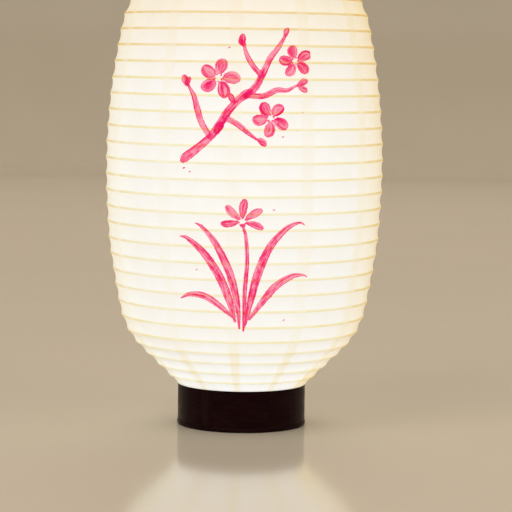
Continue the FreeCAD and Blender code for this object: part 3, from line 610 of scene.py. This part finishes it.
def washi():
    """Handmade paper with the bulb's light painted on as a glow: ribs and laps in painted shade, fibres, and the brush
    paint on it.
    """
    m = Mat("washi_lit")
    uv = m.uv("paper_mm")
    rib, lap, height, strip = (m.attribute(a) for a in ("rib_count", "lap_mm", "height_mm", "strip_no"))
    rib = m.math("MULTIPLY", m.math("SUBTRACT", rib, m.math("ROUND", rib)), 14.4)
    depth, along, across, load, layers = (m.attribute(a) for a in ("ink_depth", "ink_along", "ink_across", "ink_load", "ink_layers"))
    seeded = m.vmath("ADD", uv, m.combine(0.0, m.math("MULTIPLY", strip, 317.0), m.math("MULTIPLY", strip, 3.7)))
    # cloudy pulp and long fibres
    pulp = m.noise(seeded, 0.045, 4.0, 0.6)
    fine = m.noise(seeded, 0.9, 3.0, 0.65)
    fibre_a = m.noise(m.scaled(seeded, 0.09, 0.95), 1.0, 2.0, 0.5, 1.4)
    fibre_b = m.noise(m.scaled(seeded, 0.9, 0.12), 1.0, 2.0, 0.5, 1.6)
    fibres = m.math("MAXIMUM", m.ramp(fibre_a, 0.60, 0.72), m.ramp(fibre_b, 0.61, 0.73))
    # rib shadows, uneven along their length
    wobble = m.noise(m.scaled(seeded, 0.05, 0.003), 1.0, 2.0, 0.5)
    offset = m.math("SUBTRACT", m.math("MULTIPLY", m.math("SUBTRACT", wobble, 0.5), 0.7), 0.35)
    rib_d = m.math("ABSOLUTE", m.math("ADD", rib, offset))
    rib_core = m.ramp(rib_d, 0.58, 1.48, 1.0, 0.0)
    rib_halo = m.ramp(rib_d, 0.6, 2.8, 1.0, 0.0)
    uneven = m.ramp(m.noise(m.scaled(seeded, 0.035, 0.02), 1.0, 3.0, 0.6), 0.3, 0.7, 0.72, 1.0)
    rib_core = m.math("MULTIPLY", rib_core, uneven)
    lap_edge = m.math("ADD", lap, m.math("MULTIPLY", m.math("SUBTRACT", m.noise(m.scaled(seeded, 0.2, 0.16), 1.0, 3.0, 0.6), 0.5), 1.6))
    in_lap = m.ramp(lap_edge, -1.1, 1.1)
    high = m.ramp(height, 300.0, 410.0)
    low = m.ramp(height, 48.0, 125.0, 1.0, 0.0)
    # painted light and shade by side: ribs and laps are drawn darker on the right-hand side, and the paper is painted
    # creamier at both sides
    x, y, z = m.separate(m.coords())
    out = m.math("SQRT", m.math("ADD", m.math("MULTIPLY", x, x), m.math("MULTIPLY", y, y)))
    turn = m.math("DIVIDE", x, out)
    right = m.ramp(turn, -0.08, 0.93)
    painted_side_mask = m.ramp(m.math("ABSOLUTE", turn), 0.72, 1.0)
    foot = m.ramp(height, 66.0, 98.0, 1.0, 0.0)
    foot_low = m.ramp(height, 52.0, 92.0, 1.0, 0.0)
    upper = m.ramp(height, 225.0, 330.0)
    # painted shade in the laps, where the light passes two layers of paper: strongest at the foot, a little more higher
    # up and towards the right
    lap_shade = m.math("ADD", m.math("ADD", m.math("MULTIPLY", upper, 0.12), m.math("MULTIPLY", foot, 0.70)), m.math("ADD", 0.27, m.math("MULTIPLY", right, 0.18)), clamp=True)
    lap_shade = m.math("MULTIPLY", in_lap, lap_shade)
    light = m.mix(m.ramp(pulp, 0.30, 0.70), (0.965, 0.932, 0.848), (0.982, 0.960, 0.900))
    light = m.mix(m.math("MULTIPLY", fibres, 0.065), light, (0.90, 0.80, 0.62))
    light = m.mix(m.math("MULTIPLY", m.ramp(fine, 0.42, 0.60), 0.04), light, (0.84, 0.74, 0.56))
    # painted falloff of the bulb's light: creamier and dimmer towards the top, away from the bulb, and brighter low
    # down near it
    light = m.mix(m.math("MULTIPLY", high, 0.9), light, (0.955, 0.872, 0.710), "MULTIPLY")
    light = m.mix(low, light, (1.060, 1.035, 0.99), "MULTIPLY")
    light = m.mix(foot_low, light, (1.030, 1.050, 1.100), "MULTIPLY")
    light = m.mix(m.math("MULTIPLY", foot_low, m.ramp(m.math("ABSOLUTE", turn), 0.45, 0.92)), light, (1.060, 1.070, 1.060), "MULTIPLY")
    light = m.mix(lap_shade, light, (0.985, 0.93, 0.80), "MULTIPLY")
    # painted light and shade: the paper brightened at both sides, a touch darker higher up, and creamier on the right
    # near the top and just above the lower ring
    light = m.mix(painted_side_mask, light, m.mix(right, (1.075, 1.130, 1.130), (1.070, 1.020, 0.870)), "MULTIPLY")
    light = m.mix(upper, light, (0.988, 0.976, 0.985), "MULTIPLY")
    light = m.mix(m.math("MULTIPLY", upper, m.ramp(turn, 0.2, 0.6)), light, (0.992, 0.982, 0.945), "MULTIPLY")
    light = m.mix(m.math("MULTIPLY", m.ramp(height, 45.0, 62.0, 1.0, 0.0), m.ramp(turn, 0.68, 0.95)), light, (1.0, 0.93, 0.76), "MULTIPLY")
    light = m.mix(m.math("MULTIPLY", rib_halo, 0.22), light, (0.985, 0.95, 0.85), "MULTIPLY")
    # painted rib shadows: their colour and strength change with height, side, the laps and the foot
    rib_shadow_tint = m.mix(high, m.mix(low, (0.968, 0.915, 0.640), (0.948, 0.872, 0.345)), (0.905, 0.670, 0.270))
    rib_shadow_tint = m.mix(m.math("MULTIPLY", right, 0.8), rib_shadow_tint, (0.985, 0.93, 0.77), "MULTIPLY")
    rib_shadow_tint = m.mix(painted_side_mask, rib_shadow_tint, (0.90, 0.77, 0.62), "MULTIPLY")
    rib_shadow_tint = m.mix(m.math("MULTIPLY", lap_shade, foot), rib_shadow_tint, (0.965, 0.90, 0.74), "MULTIPLY")
    rib_core = m.math("MULTIPLY", rib_core, m.math("SUBTRACT", 1.0, m.math("MULTIPLY", in_lap, m.math("MULTIPLY", m.math("SUBTRACT", 1.0, foot), 0.36))))
    rib_core = m.math("MULTIPLY", rib_core, m.math("SUBTRACT", 1.0, m.math("MULTIPLY", foot, 0.40)))
    rib_shadow_tint = m.mix(m.math("MULTIPLY", upper, m.math("SUBTRACT", 1.0, high)), rib_shadow_tint, (1.0, 0.985, 0.80), "MULTIPLY")
    light = m.mix(rib_core, light, m.mix(1.0, light, rib_shadow_tint, "MULTIPLY"))
    # brush paint: streaks along the stroke, a darker rim where it pooled, dry gaps
    ragged = m.math("MULTIPLY", m.math("SUBTRACT", m.noise(seeded, 0.62, 3.0, 0.72), 0.5), 1.5)
    edge = m.math("ADD", depth, ragged)
    mask = m.ramp(edge, -0.22, 0.24)
    hair = m.noise(m.combine(m.math("MULTIPLY", along, 0.05), m.math("MULTIPLY", across, 6.5), 1.0), 1.0, 3.0, 0.6, 0.35)
    streak = m.noise(m.combine(m.math("MULTIPLY", along, 0.035), m.math("MULTIPLY", across, 2.1), 7.0), 1.0, 3.0, 0.6, 0.5)
    blotch = m.noise(m.combine(m.math("MULTIPLY", along, 0.15), m.math("MULTIPLY", across, 0.8), 4.0), 1.0, 3.0, 0.6)
    rim = m.ramp(edge, 0.15, 1.0, 1.0, 0.0)
    one_side = m.ramp(across, -0.1, 0.7, 0.25, 1.0)
    dens = m.math("ADD", m.math("MULTIPLY", load, 0.50), m.math("MULTIPLY", m.math("SUBTRACT", streak, 0.5), 3.3))
    dens = m.math("ADD", dens, m.math("MULTIPLY", m.math("SUBTRACT", hair, 0.5), 1.3))
    dens = m.math("ADD", dens, m.math("MULTIPLY", m.math("SUBTRACT", blotch, 0.5), 2.4))
    dens = m.math("ADD", dens, m.math("MULTIPLY", m.math("MULTIPLY", rim, one_side), 0.55))
    dens = m.math("ADD", dens, m.math("MULTIPLY", m.math("SUBTRACT", layers, 1.0, clamp=True), 0.50), clamp=True)
    gap = m.math("MULTIPLY", m.ramp(hair, 0.60, 0.72), m.ramp(m.noise(seeded, 0.30, 2.0, 0.5), 0.50, 0.66))
    mask = m.math("MULTIPLY", mask, m.math("SUBTRACT", 1.0, m.math("MULTIPLY", gap, 0.6)))
    ink_light = m.mix(m.ramp(dens, 0.0, 0.46), (1.0, 0.40, 0.50), (1.0, 0.092, 0.272))
    ink_dark = m.mix(m.ramp(dens, 0.46, 1.0), ink_light, (0.94, 0.0, 0.152))
    through = m.mix(mask, (1.0, 1.0, 1.0), ink_dark)
    glow = m.mix(1.0, light, through, "MULTIPLY")
    paper = m.mix(m.math("MULTIPLY", fibres, 0.3), (0.27, 0.25, 0.21), (0.23, 0.20, 0.15))
    # painted rib shadows in the paper's own colour as well
    paper = m.mix(rib_core, paper, (0.23, 0.20, 0.14))
    # near the foot the bulb outshines the light of the room
    paper = m.mix(foot, paper, (0.55, 0.55, 0.55), "MULTIPLY")
    glow = m.mix(foot, glow, (1.050, 1.050, 1.045), "MULTIPLY")
    paper = m.mix(mask, paper, m.mix(dens, (0.26, 0.04, 0.08), (0.20, 0.002, 0.03)))
    height_map = m.math("ADD", m.math("MULTIPLY", fine, 0.35), m.math("MULTIPLY", fibres, 0.5))
    height_map = m.math("ADD", height_map, m.math("MULTIPLY", in_lap, 0.25))
    height_map = m.math("ADD", height_map, m.math("MULTIPLY", mask, 0.3))
    # the paper's warm fibre nap shows at a slant
    m.set(Base_Color=paper, Roughness=m.ramp(fine, 0.3, 0.7, 0.72, 0.9), Emission_Color=m.mix(1.0, glow, (0.888, 0.925, 0.985), "MULTIPLY"), Emission_Strength=0.912,
          Normal=m.bump(height_map, 0.00018, 0.6), Specular_IOR_Level=0.15, Sheen_Weight=0.75, Sheen_Roughness=0.45, Sheen_Tint=(1.0, 0.70, 0.16))
    return m


WASHI = washi()
strips = []
for k in range(GORES):
    o, width, length, area = paper_strip(k)
    dress(o, WASHI)
    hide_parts("shade_paper")
    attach(o, "base")
    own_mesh(o)
    strips.append(o)
print("strip flat size", width, length, area)


# ---------------------------------------------------------------- threads behind the laps
def tube(name, paths, radius, sides=6):
    """Round strands along lists of points, as one mesh with closed ends."""
    verts, faces = [], []
    for path in paths:
        p = np.array(path, float)
        tan = np.gradient(p, axis=0)
        tan /= np.linalg.norm(tan, axis=1)[:, None]
        ref = np.array((0.3, 0.2, 0.93))
        side = np.cross(tan, ref)
        side /= np.linalg.norm(side, axis=1)[:, None]
        up = np.cross(side, tan)
        base = len(verts)
        for i in range(len(p)):
            for j in range(sides):
                a = 2 * math.pi * j / sides
                verts.append(p[i] + radius * (math.cos(a) * side[i] + math.sin(a) * up[i]))
        for i in range(len(p) - 1):
            for j in range(sides):
                a, b = base + i * sides + j, base + i * sides + (j + 1) % sides
                faces.append((a, b, b + sides, a + sides))
        faces.append(tuple(base + j for j in range(sides))[::-1])
        faces.append(tuple(base + (len(p) - 1) * sides + j for j in range(sides)))
    return mesh_object(name, verts, faces)


def binding_thread(k):
    """A cotton thread that runs down behind one lap and takes a turn round every rib."""
    a = SEAM_AT + STEP * k
    er, et = np.array((math.sin(a), -math.cos(a), 0.0)), np.array((math.cos(a), math.sin(a), 0.0))
    path = []

    def at(r, z, side):
        path.append(er * r + np.array((0, 0, z)) + et * side)

    at(TAIL_R - 0.55 * MM, RING_LOW[1] - 7.0 * MM, 0.0)
    at(TAIL_R - 0.55 * MM, RING_LOW[1] - 0.6 * MM, 0.0)
    at(TAIL_R - 0.25 * MM, RING_LOW[1] + 1.1 * MM, 0.0)
    for i, (r, z) in enumerate(ribs):
        r = r + pushed_out(z)
        # up the inside of the rib, over it, down its outside and back under itself
        q = RIB_WIRE + 0.30 * MM
        at(r - 0.75 * q, z - 1.1 * MM, 0.0)
        for step in range(0, 9):
            t = math.radians(215 - 45 * step)
            at(r + q * math.cos(t), z + q * math.sin(t), (0.9 * step / 8 - 0.45) * 1.1 * MM)
        at(r - 0.75 * q, z + 1.1 * MM, 0.0)
    at(TAIL_R - 0.25 * MM, RING_TOP[0] - 1.1 * MM, 0.0)
    at(TAIL_R - 0.55 * MM, RING_TOP[0] + 0.6 * MM, 0.0)
    at(TAIL_R - 0.55 * MM, RING_TOP[0] + 7.0 * MM, 0.0)
    return path


threads = tube("binding_thread_set", [binding_thread(k) for k in range(GORES)], 0.23 * MM, 6)
cotton = Mat("cotton_thread")
tw = cotton.noise(cotton.scaled(cotton.coords(), 900.0, 900.0, 2600.0), 1.0, 3.0, 0.6)
cotton.set(Base_Color=cotton.mix(tw, (0.50, 0.43, 0.31), (0.68, 0.60, 0.45)), Roughness=0.85, Normal=cotton.bump(tw, 0.0002, 0.5))
dress(threads, cotton)
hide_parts("binding_threads")
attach(threads, "base")
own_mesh(threads)


# ---------------------------------------------------------------- bamboo ribs
def bamboo_rib(i):
    """A hoop of split bamboo, not quite even, whose thinned ends lie past each other in a splice under one thread."""
    r, z = ribs[i]
    r = r + pushed_out(z)
    segs, sides = 264, 8
    splice = SEAM_AT + STEP * ((5 * i + 6) % GORES)
    t = np.arange(segs) / segs * 2 * math.pi
    wide = 1 + 0.045 * value_noise(t * 12 / (2 * math.pi) * 4, np.full(segs, i * 3.3), 31, period=48) - 0.03
    near = np.abs((t - splice + math.pi) % (2 * math.pi) - math.pi) * r
    swell = np.exp(-(near / (7 * MM)) ** 4) * 0.025
    a = 2 * math.pi * np.arange(sides) / sides
    rad = RIB_WIRE * (wide + swell)[:, None] * np.ones(sides)[None, :]
    # the outer side keeps the bamboo's rounded skin, the inner side is split flat
    flat = np.where(np.cos(a) < -0.6, 0.86, 1.0)[None, :]
    R = r + rad * np.cos(a)[None, :] * flat
    Z = z + rad * np.sin(a)[None, :]
    verts = np.stack([R * np.sin(t)[:, None], -R * np.cos(t)[:, None], Z], -1).reshape(-1, 3)
    k, j = np.meshgrid(np.arange(segs), np.arange(sides), indexing="ij")
    k2, j2 = (k + 1) % segs, (j + 1) % sides
    faces = np.stack([k * sides + j, k2 * sides + j, k2 * sides + j2, k * sides + j2], -1).reshape(-1, 4)
    return mesh_object("bamboo_rib_%02d" % (i + 1), verts, faces)


rib_objects = []
for i in range(30):
    o = bamboo_rib(i)
    node = "rib_%02d" % (i + 1)
    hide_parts(node)
    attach(o, node)
    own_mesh(o)
    rib_objects.append(o)


# ---------------------------------------------------------------- the two bent-wood rings
def bent_ring(name, node, body, flip):
    """A thin ring of bent wood with softened edges, whose ends meet in an upright butt seam."""
    lo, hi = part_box(node)
    out_r = (hi.x - lo.x) / 2
    in_r = out_r - RING_WALL
    z0, z1 = lo.z, hi.z
    b = 0.45 * MM
    prof = []
    n = 6
    for cx, cz, a0 in ((out_r - b, z0 + b, -90), (out_r - b, z1 - b, 0), (in_r + b, z1 - b, 90), (in_r + b, z0 + b, 180)):
        for i in range(n + 1):
            t = math.radians(a0 + 90 * i / n)
            prof.append((cx + b * math.cos(t), cz + b * math.sin(t)))
        if a0 in (-90, 90):
            za, zb = prof[-1][1], (z1 - b if a0 == -90 else z0 + b)
            r_here = prof[-1][0]
            for i in range(1, 10):
                prof.append((r_here, za + (zb - za) * i / 10))
    prof = np.array(prof)
    seam = math.radians(-33.6)
    segs = 420
    th = np.concatenate([np.linspace(seam - math.radians(1.2), seam + math.radians(1.2), 25)[:-1], np.linspace(seam + math.radians(1.2), seam + 2 * math.pi - math.radians(1.2), segs + 1)[:-1]])
    T, P = np.meshgrid(th, np.arange(len(prof)))
    r, z = prof[P, 0].copy(), prof[P, 1].copy()
    outside = r > (in_r + out_r) / 2
    off = (T - seam + math.pi) % (2 * math.pi) - math.pi
    groove = np.exp(-(off * out_r / (0.22 * MM)) ** 2) * 0.35 * MM
    step = 0.10 * MM * np.where(off > 0, np.exp(-off / math.radians(7)), 0)
    wav = 0.05 * MM * value_noise((T - seam) * 12 / (2 * math.pi) * 2, z / 0.02, 21 + flip, period=24) - 0.05 * MM
    r = np.where(outside, r - groove - step + wav, r + 0.5 * groove)
    verts = np.stack([r * np.sin(T), -r * np.cos(T), z], -1).reshape(-1, 3)
    nc, nr = len(th), len(prof)
    faces = []
    for i in range(nr):
        for j in range(nc):
            a, c = i * nc + j, i * nc + (j + 1) % nc
            d, e = ((i + 1) % nr) * nc + j, ((i + 1) % nr) * nc + (j + 1) % nc
            faces.append((a, c, e, d))
    o = mesh_object(name, verts, faces)
    layer = o.data.uv_layers.new(name="ring_mm")
    loops = np.zeros(len(o.data.loops), np.int32)
    o.data.loops.foreach_get("vertex_index", loops)
    # the loops of the quad that closes the ring keep growing instead of jumping back
    ang = T.ravel()[loops] * 58.2
    first = np.isclose(T.ravel()[loops], th[0])
    quad = np.arange(len(loops)) // 4
    wraps = np.zeros(quad.max() + 1, bool)
    np.logical_or.at(wraps, quad[np.isclose(T.ravel()[loops], th[-1])], True)
    ang = np.where(first & wraps[quad], ang + 2 * math.pi * 58.2, ang)
    layer.data.foreach_set("uv", np.stack([ang, z.ravel()[loops] * 1000 - z0 * 1000], 1).astype(np.float32).ravel())
    float_attribute(o, "edge_mm", np.minimum(z - z0, z1 - z).ravel() * 1000)
    float_attribute(o, "seam_mm", (off * out_r * 1000).ravel())
    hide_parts(node)
    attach(o, body)
    return o


def lacquer(name, with_uv):
    """Brown-black lacquer brushed on wood: low sheen, fine grain, paler worn edges, a painted highlight beside the seam
    and a little dust.
    """
    m = Mat(name)
    if with_uv:
        uv = m.uv("ring_mm")
        edge, seam = m.attribute("edge_mm"), m.attribute("seam_mm")
    else:
        uv = m.vmath("MULTIPLY", m.coords(), (1000.0, 1000.0, 1000.0))
    grain = m.noise(m.scaled(uv, 0.03, 1.1, 1.1), 1.0, 4.0, 0.6, 0.4)
    pore = m.noise(m.scaled(uv, 0.16, 3.6, 3.6), 1.0, 3.0, 0.65)
    cloud = m.noise(m.scaled(uv, 0.05, 0.07, 0.07), 1.0, 3.0, 0.6)
    dust = m.ramp(m.noise(m.scaled(uv, 1.6, 1.6, 1.6), 1.0, 2.0, 0.6), 0.66, 0.74)
    colour = m.mix(m.ramp(cloud, 0.3, 0.7), (0.0070, 0.0017, 0.0030), (0.0128, 0.0032, 0.0048))
    colour = m.mix(m.math("MULTIPLY", m.ramp(grain, 0.45, 0.66), 0.38), colour, (0.022, 0.009, 0.010))
    if with_uv:
        worn = m.math("ADD", edge, m.math("MULTIPLY", m.math("SUBTRACT", pore, 0.5), 2.2))
        rub = m.math("MULTIPLY", m.ramp(worn, 0.0, 0.75, 1.0, 0.0), m.ramp(cloud, 0.42, 0.60))
        colour = m.mix(m.math("MULTIPLY", rub, 0.75), colour, (0.060, 0.030, 0.018))
        line = m.ramp(m.math("ABSOLUTE", seam), 0.15, 0.5, 1.0, 0.0)
        colour = m.mix(m.math("MULTIPLY", line, 0.8), colour, (0.002, 0.0015, 0.0015))
        # painted highlight: the lacquer is drawn lighter over a few millimetres beside the seam
        near = m.ramp(m.math("ABSOLUTE", seam), 0.4, 5.0, 0.35, 0.0)
        colour = m.mix(near, colour, (0.026, 0.013, 0.011))
    colour = m.mix(m.math("MULTIPLY", dust, 0.12), colour, (0.20, 0.17, 0.14))
    rough = m.math("ADD", m.ramp(cloud, 0.3, 0.7, 0.26, 0.40), m.math("MULTIPLY", dust, 0.25))
    rough = m.math("ADD", rough, m.math("MULTIPLY", m.math("SUBTRACT", pore, 0.5), 0.16))
    h = m.math("ADD", m.math("MULTIPLY", grain, 0.7), m.math("MULTIPLY", pore, 0.35))
    return m.set(Base_Color=colour, Roughness=rough, Specular_IOR_Level=0.050, Specular_Tint=(1.0, 0.54, 0.56), Normal=m.bump(h, 0.00022, 0.45))


LACQUER_UV, LACQUER = lacquer("lacquered_ring", True), lacquer("lacquered_base", False)
ring_low = dress(bent_ring("ring_lower_bent", "lower_ring", "base", 0), LACQUER_UV)
ring_top = dress(bent_ring("ring_top_bent", "top_ring", "top_ring", 5), LACQUER_UV)


# ---------------------------------------------------------------- finishes of the pieces kept from the frame
def bamboo():
    m = Mat("split_bamboo")
    c = m.scaled(m.coords(), 1000.0, 1000.0, 1000.0)
    x, y, z = m.separate(c)
    ang = m.math("MULTIPLY", m.math("ARCTAN2", x, y), 60.0)
    g = m.noise(m.combine(m.math("MULTIPLY", ang, 0.10), m.math("MULTIPLY", z, 3.2), m.math("MULTIPLY", m.math("SQRT", m.math("ADD", m.math("MULTIPLY", x, x), m.math("MULTIPLY", y, y))), 3.2)), 1.0, 3.0, 0.6)
    knots = m.ramp(m.noise(m.combine(m.math("MULTIPLY", ang, 0.05), m.math("MULTIPLY", z, 0.08), 0.0), 1.0, 1.0), 0.62, 0.68)
    col = m.mix(m.ramp(g, 0.3, 0.7), (0.36, 0.235, 0.105), (0.60, 0.44, 0.22))
    col = m.mix(m.math("MULTIPLY", knots, 0.5), col, (0.22, 0.13, 0.06))
    return m.set(Base_Color=col, Roughness=m.ramp(g, 0.3, 0.7, 0.42, 0.6), Normal=m.bump(g, 0.0002, 0.5))


def speckled(name, lo, hi, rough, scale=900.0, metal=0.0, bump=0.0001, stretch=(1, 1, 1), wear=None, **more):
    """A plain material whose colour and sheen vary gently; stretched noise gives a brushing direction."""
    m = Mat(name)
    n = m.noise(m.scaled(m.coords(), *[scale * k for k in stretch]), 1.0, 4.0, 0.6)
    big = m.noise(m.scaled(m.coords(), 60.0, 60.0, 60.0), 1.0, 3.0, 0.6)
    col = m.mix(m.ramp(n, 0.3, 0.7), lo, hi)
    if wear:
        col = m.mix(m.math("MULTIPLY", m.ramp(big, 0.52, 0.68), 0.5), col, wear)
    r = m.math("ADD", m.ramp(n, 0.3, 0.7, rough - 0.06, rough + 0.06), m.math("MULTIPLY", m.math("SUBTRACT", big, 0.5), 0.12))
    return m.set(Base_Color=col, Roughness=r, Metallic=metal, Normal=m.bump(n, bump, 0.5), **more)


def lit_globe():
    m = Mat("opal_lit")
    n = m.noise(m.scaled(m.coords(), 35.0, 35.0, 35.0), 1.0, 2.0, 0.5)
    x, y, z = m.separate(m.coords())
    up = m.ramp(z, 0.105, 0.118, 0.45, 1.0)
    warm = m.mix(m.ramp(n, 0.3, 0.7), (1.0, 0.80, 0.50), (1.0, 0.84, 0.56))
    return m.set(Base_Color=(0.85, 0.82, 0.74), Roughness=0.22, Emission_Color=m.mix(up, (1.0, 0.70, 0.38), warm), Emission_Strength=m.math("MULTIPLY", up, 5.0))


FINISH = {
    "bamboo": bamboo(),
    "black_lacquer": LACQUER,
    "hoop_wood": speckled("hoop_wood_stained", (0.022, 0.012, 0.009), (0.055, 0.032, 0.022), 0.62, 500.0, stretch=(0.25, 0.25, 4.0), bump=0.0003),
    "felt": speckled("felt_black", (0.006, 0.006, 0.006), (0.022, 0.022, 0.023), 0.97, 2600.0, bump=0.0006),
    "ballast_iron": speckled("iron_cast", (0.05, 0.05, 0.053), (0.12, 0.118, 0.115), 0.6, 1400.0, 0.9, 0.0005, wear=(0.12, 0.06, 0.03)),
    "screw_steel": speckled("steel_zinc", (0.42, 0.43, 0.44), (0.62, 0.62, 0.60), 0.34, 700.0, 1.0),
    "frame_steel": speckled("wire_satin", (0.46, 0.44, 0.40), (0.66, 0.64, 0.60), 0.33, 800.0, 1.0, stretch=(3, 3, 0.3)),
    "brass": speckled("brass_satin", (0.52, 0.34, 0.12), (0.74, 0.54, 0.24), 0.34, 600.0, 1.0, wear=(0.33, 0.20, 0.08)),
    "holder_black": speckled("phenolic_black", (0.008, 0.007, 0.007), (0.022, 0.019, 0.018), 0.36, 700.0),
    "holder_cream": speckled("steatite_glazed", (0.62, 0.57, 0.46), (0.72, 0.68, 0.58), 0.24, 400.0),
    "grommet_rubber": speckled("rubber_black", (0.006, 0.006, 0.006), (0.016, 0.016, 0.016), 0.72, 1500.0),
    "lug_black": speckled("lug_painted", (0.010, 0.008, 0.008), (0.028, 0.022, 0.021), 0.42, 900.0, 0.2, wear=(0.05, 0.035, 0.03)),
    "bush_nylon": speckled("nylon_natural", (0.62, 0.60, 0.52), (0.74, 0.72, 0.66), 0.45, 800.0),
    "rivet_aluminium": speckled("aluminium_rivet", (0.60, 0.60, 0.60), (0.78, 0.78, 0.78), 0.36, 900.0, 1.0),
    "bulb_cap_metal": speckled("cap_nickel", (0.50, 0.48, 0.44), (0.70, 0.68, 0.64), 0.26, 500.0, 1.0),
    "bulb_insulator_black": speckled("insulator_glass", (0.004, 0.004, 0.006), (0.014, 0.014, 0.018), 0.16, 500.0),
    "bulb_contact_metal": speckled("contact_tinned", (0.52, 0.51, 0.48), (0.66, 0.65, 0.63), 0.3, 900.0, 1.0),
    "bulb_white": speckled("housing_white", (0.66, 0.65, 0.61), (0.76, 0.75, 0.71), 0.42, 500.0),
    "led_board": speckled("board_white", (0.70, 0.71, 0.69), (0.82, 0.83, 0.81), 0.5, 900.0),
    "bulb_opal": lit_globe(),
}
record = frame["record"]
SLOT_OF = {s["node"]: s["material_slot"] for s in record["subparts"]}
for o in rib_objects:
    dress(o, FINISH["bamboo"])
gone = {"shade_paper", "binding_threads", "lower_ring", "top_ring"} | {"rib_%02d" % (i + 1) for i in range(30)}
for node, o in NODES.items():
    if node not in gone:
        dress(o, FINISH[SLOT_OF[node]])

# ---------------------------------------------------------------- floor and backdrop
def studio():
    """A pale floor that curves up into a round backdrop."""
    prof = [(0.0, 0.0)] + [(r, 0.0) for r in (0.3, 0.8, 1.6, 2.8, 4.2)]
    prof += [(4.2 + 1.8 * math.sin(math.radians(a)), 1.8 - 1.8 * math.cos(math.radians(a))) for a in range(6, 91, 6)] + [(6.0, 4.0)]
    segs = 96
    verts = [(0.0, 0.0, 0.0)]
    for r, z in prof[1:]:
        for j in range(segs):
            a = 2 * math.pi * j / segs
            verts.append((r * math.cos(a), r * math.sin(a), z))
    faces = [(0, 1 + j, 1 + (j + 1) % segs) for j in range(segs)]
    for i in range(len(prof) - 2):
        for j in range(segs):
            a, b = 1 + i * segs + j, 1 + i * segs + (j + 1) % segs
            faces.append((a, a + segs, b + segs, b))
    o = mesh_object("studio_floor", verts, faces)
    m = Mat("studio_pale")
    n = m.noise(m.scaled(m.coords(), 3.0, 3.0, 3.0), 1.0, 3.0, 0.5)
    m.set(Base_Color=m.mix(n, (0.64, 0.575, 0.475), (0.68, 0.615, 0.51)), Roughness=0.12, Specular_IOR_Level=0.5)
    dress(o, m)
    return o


studio()
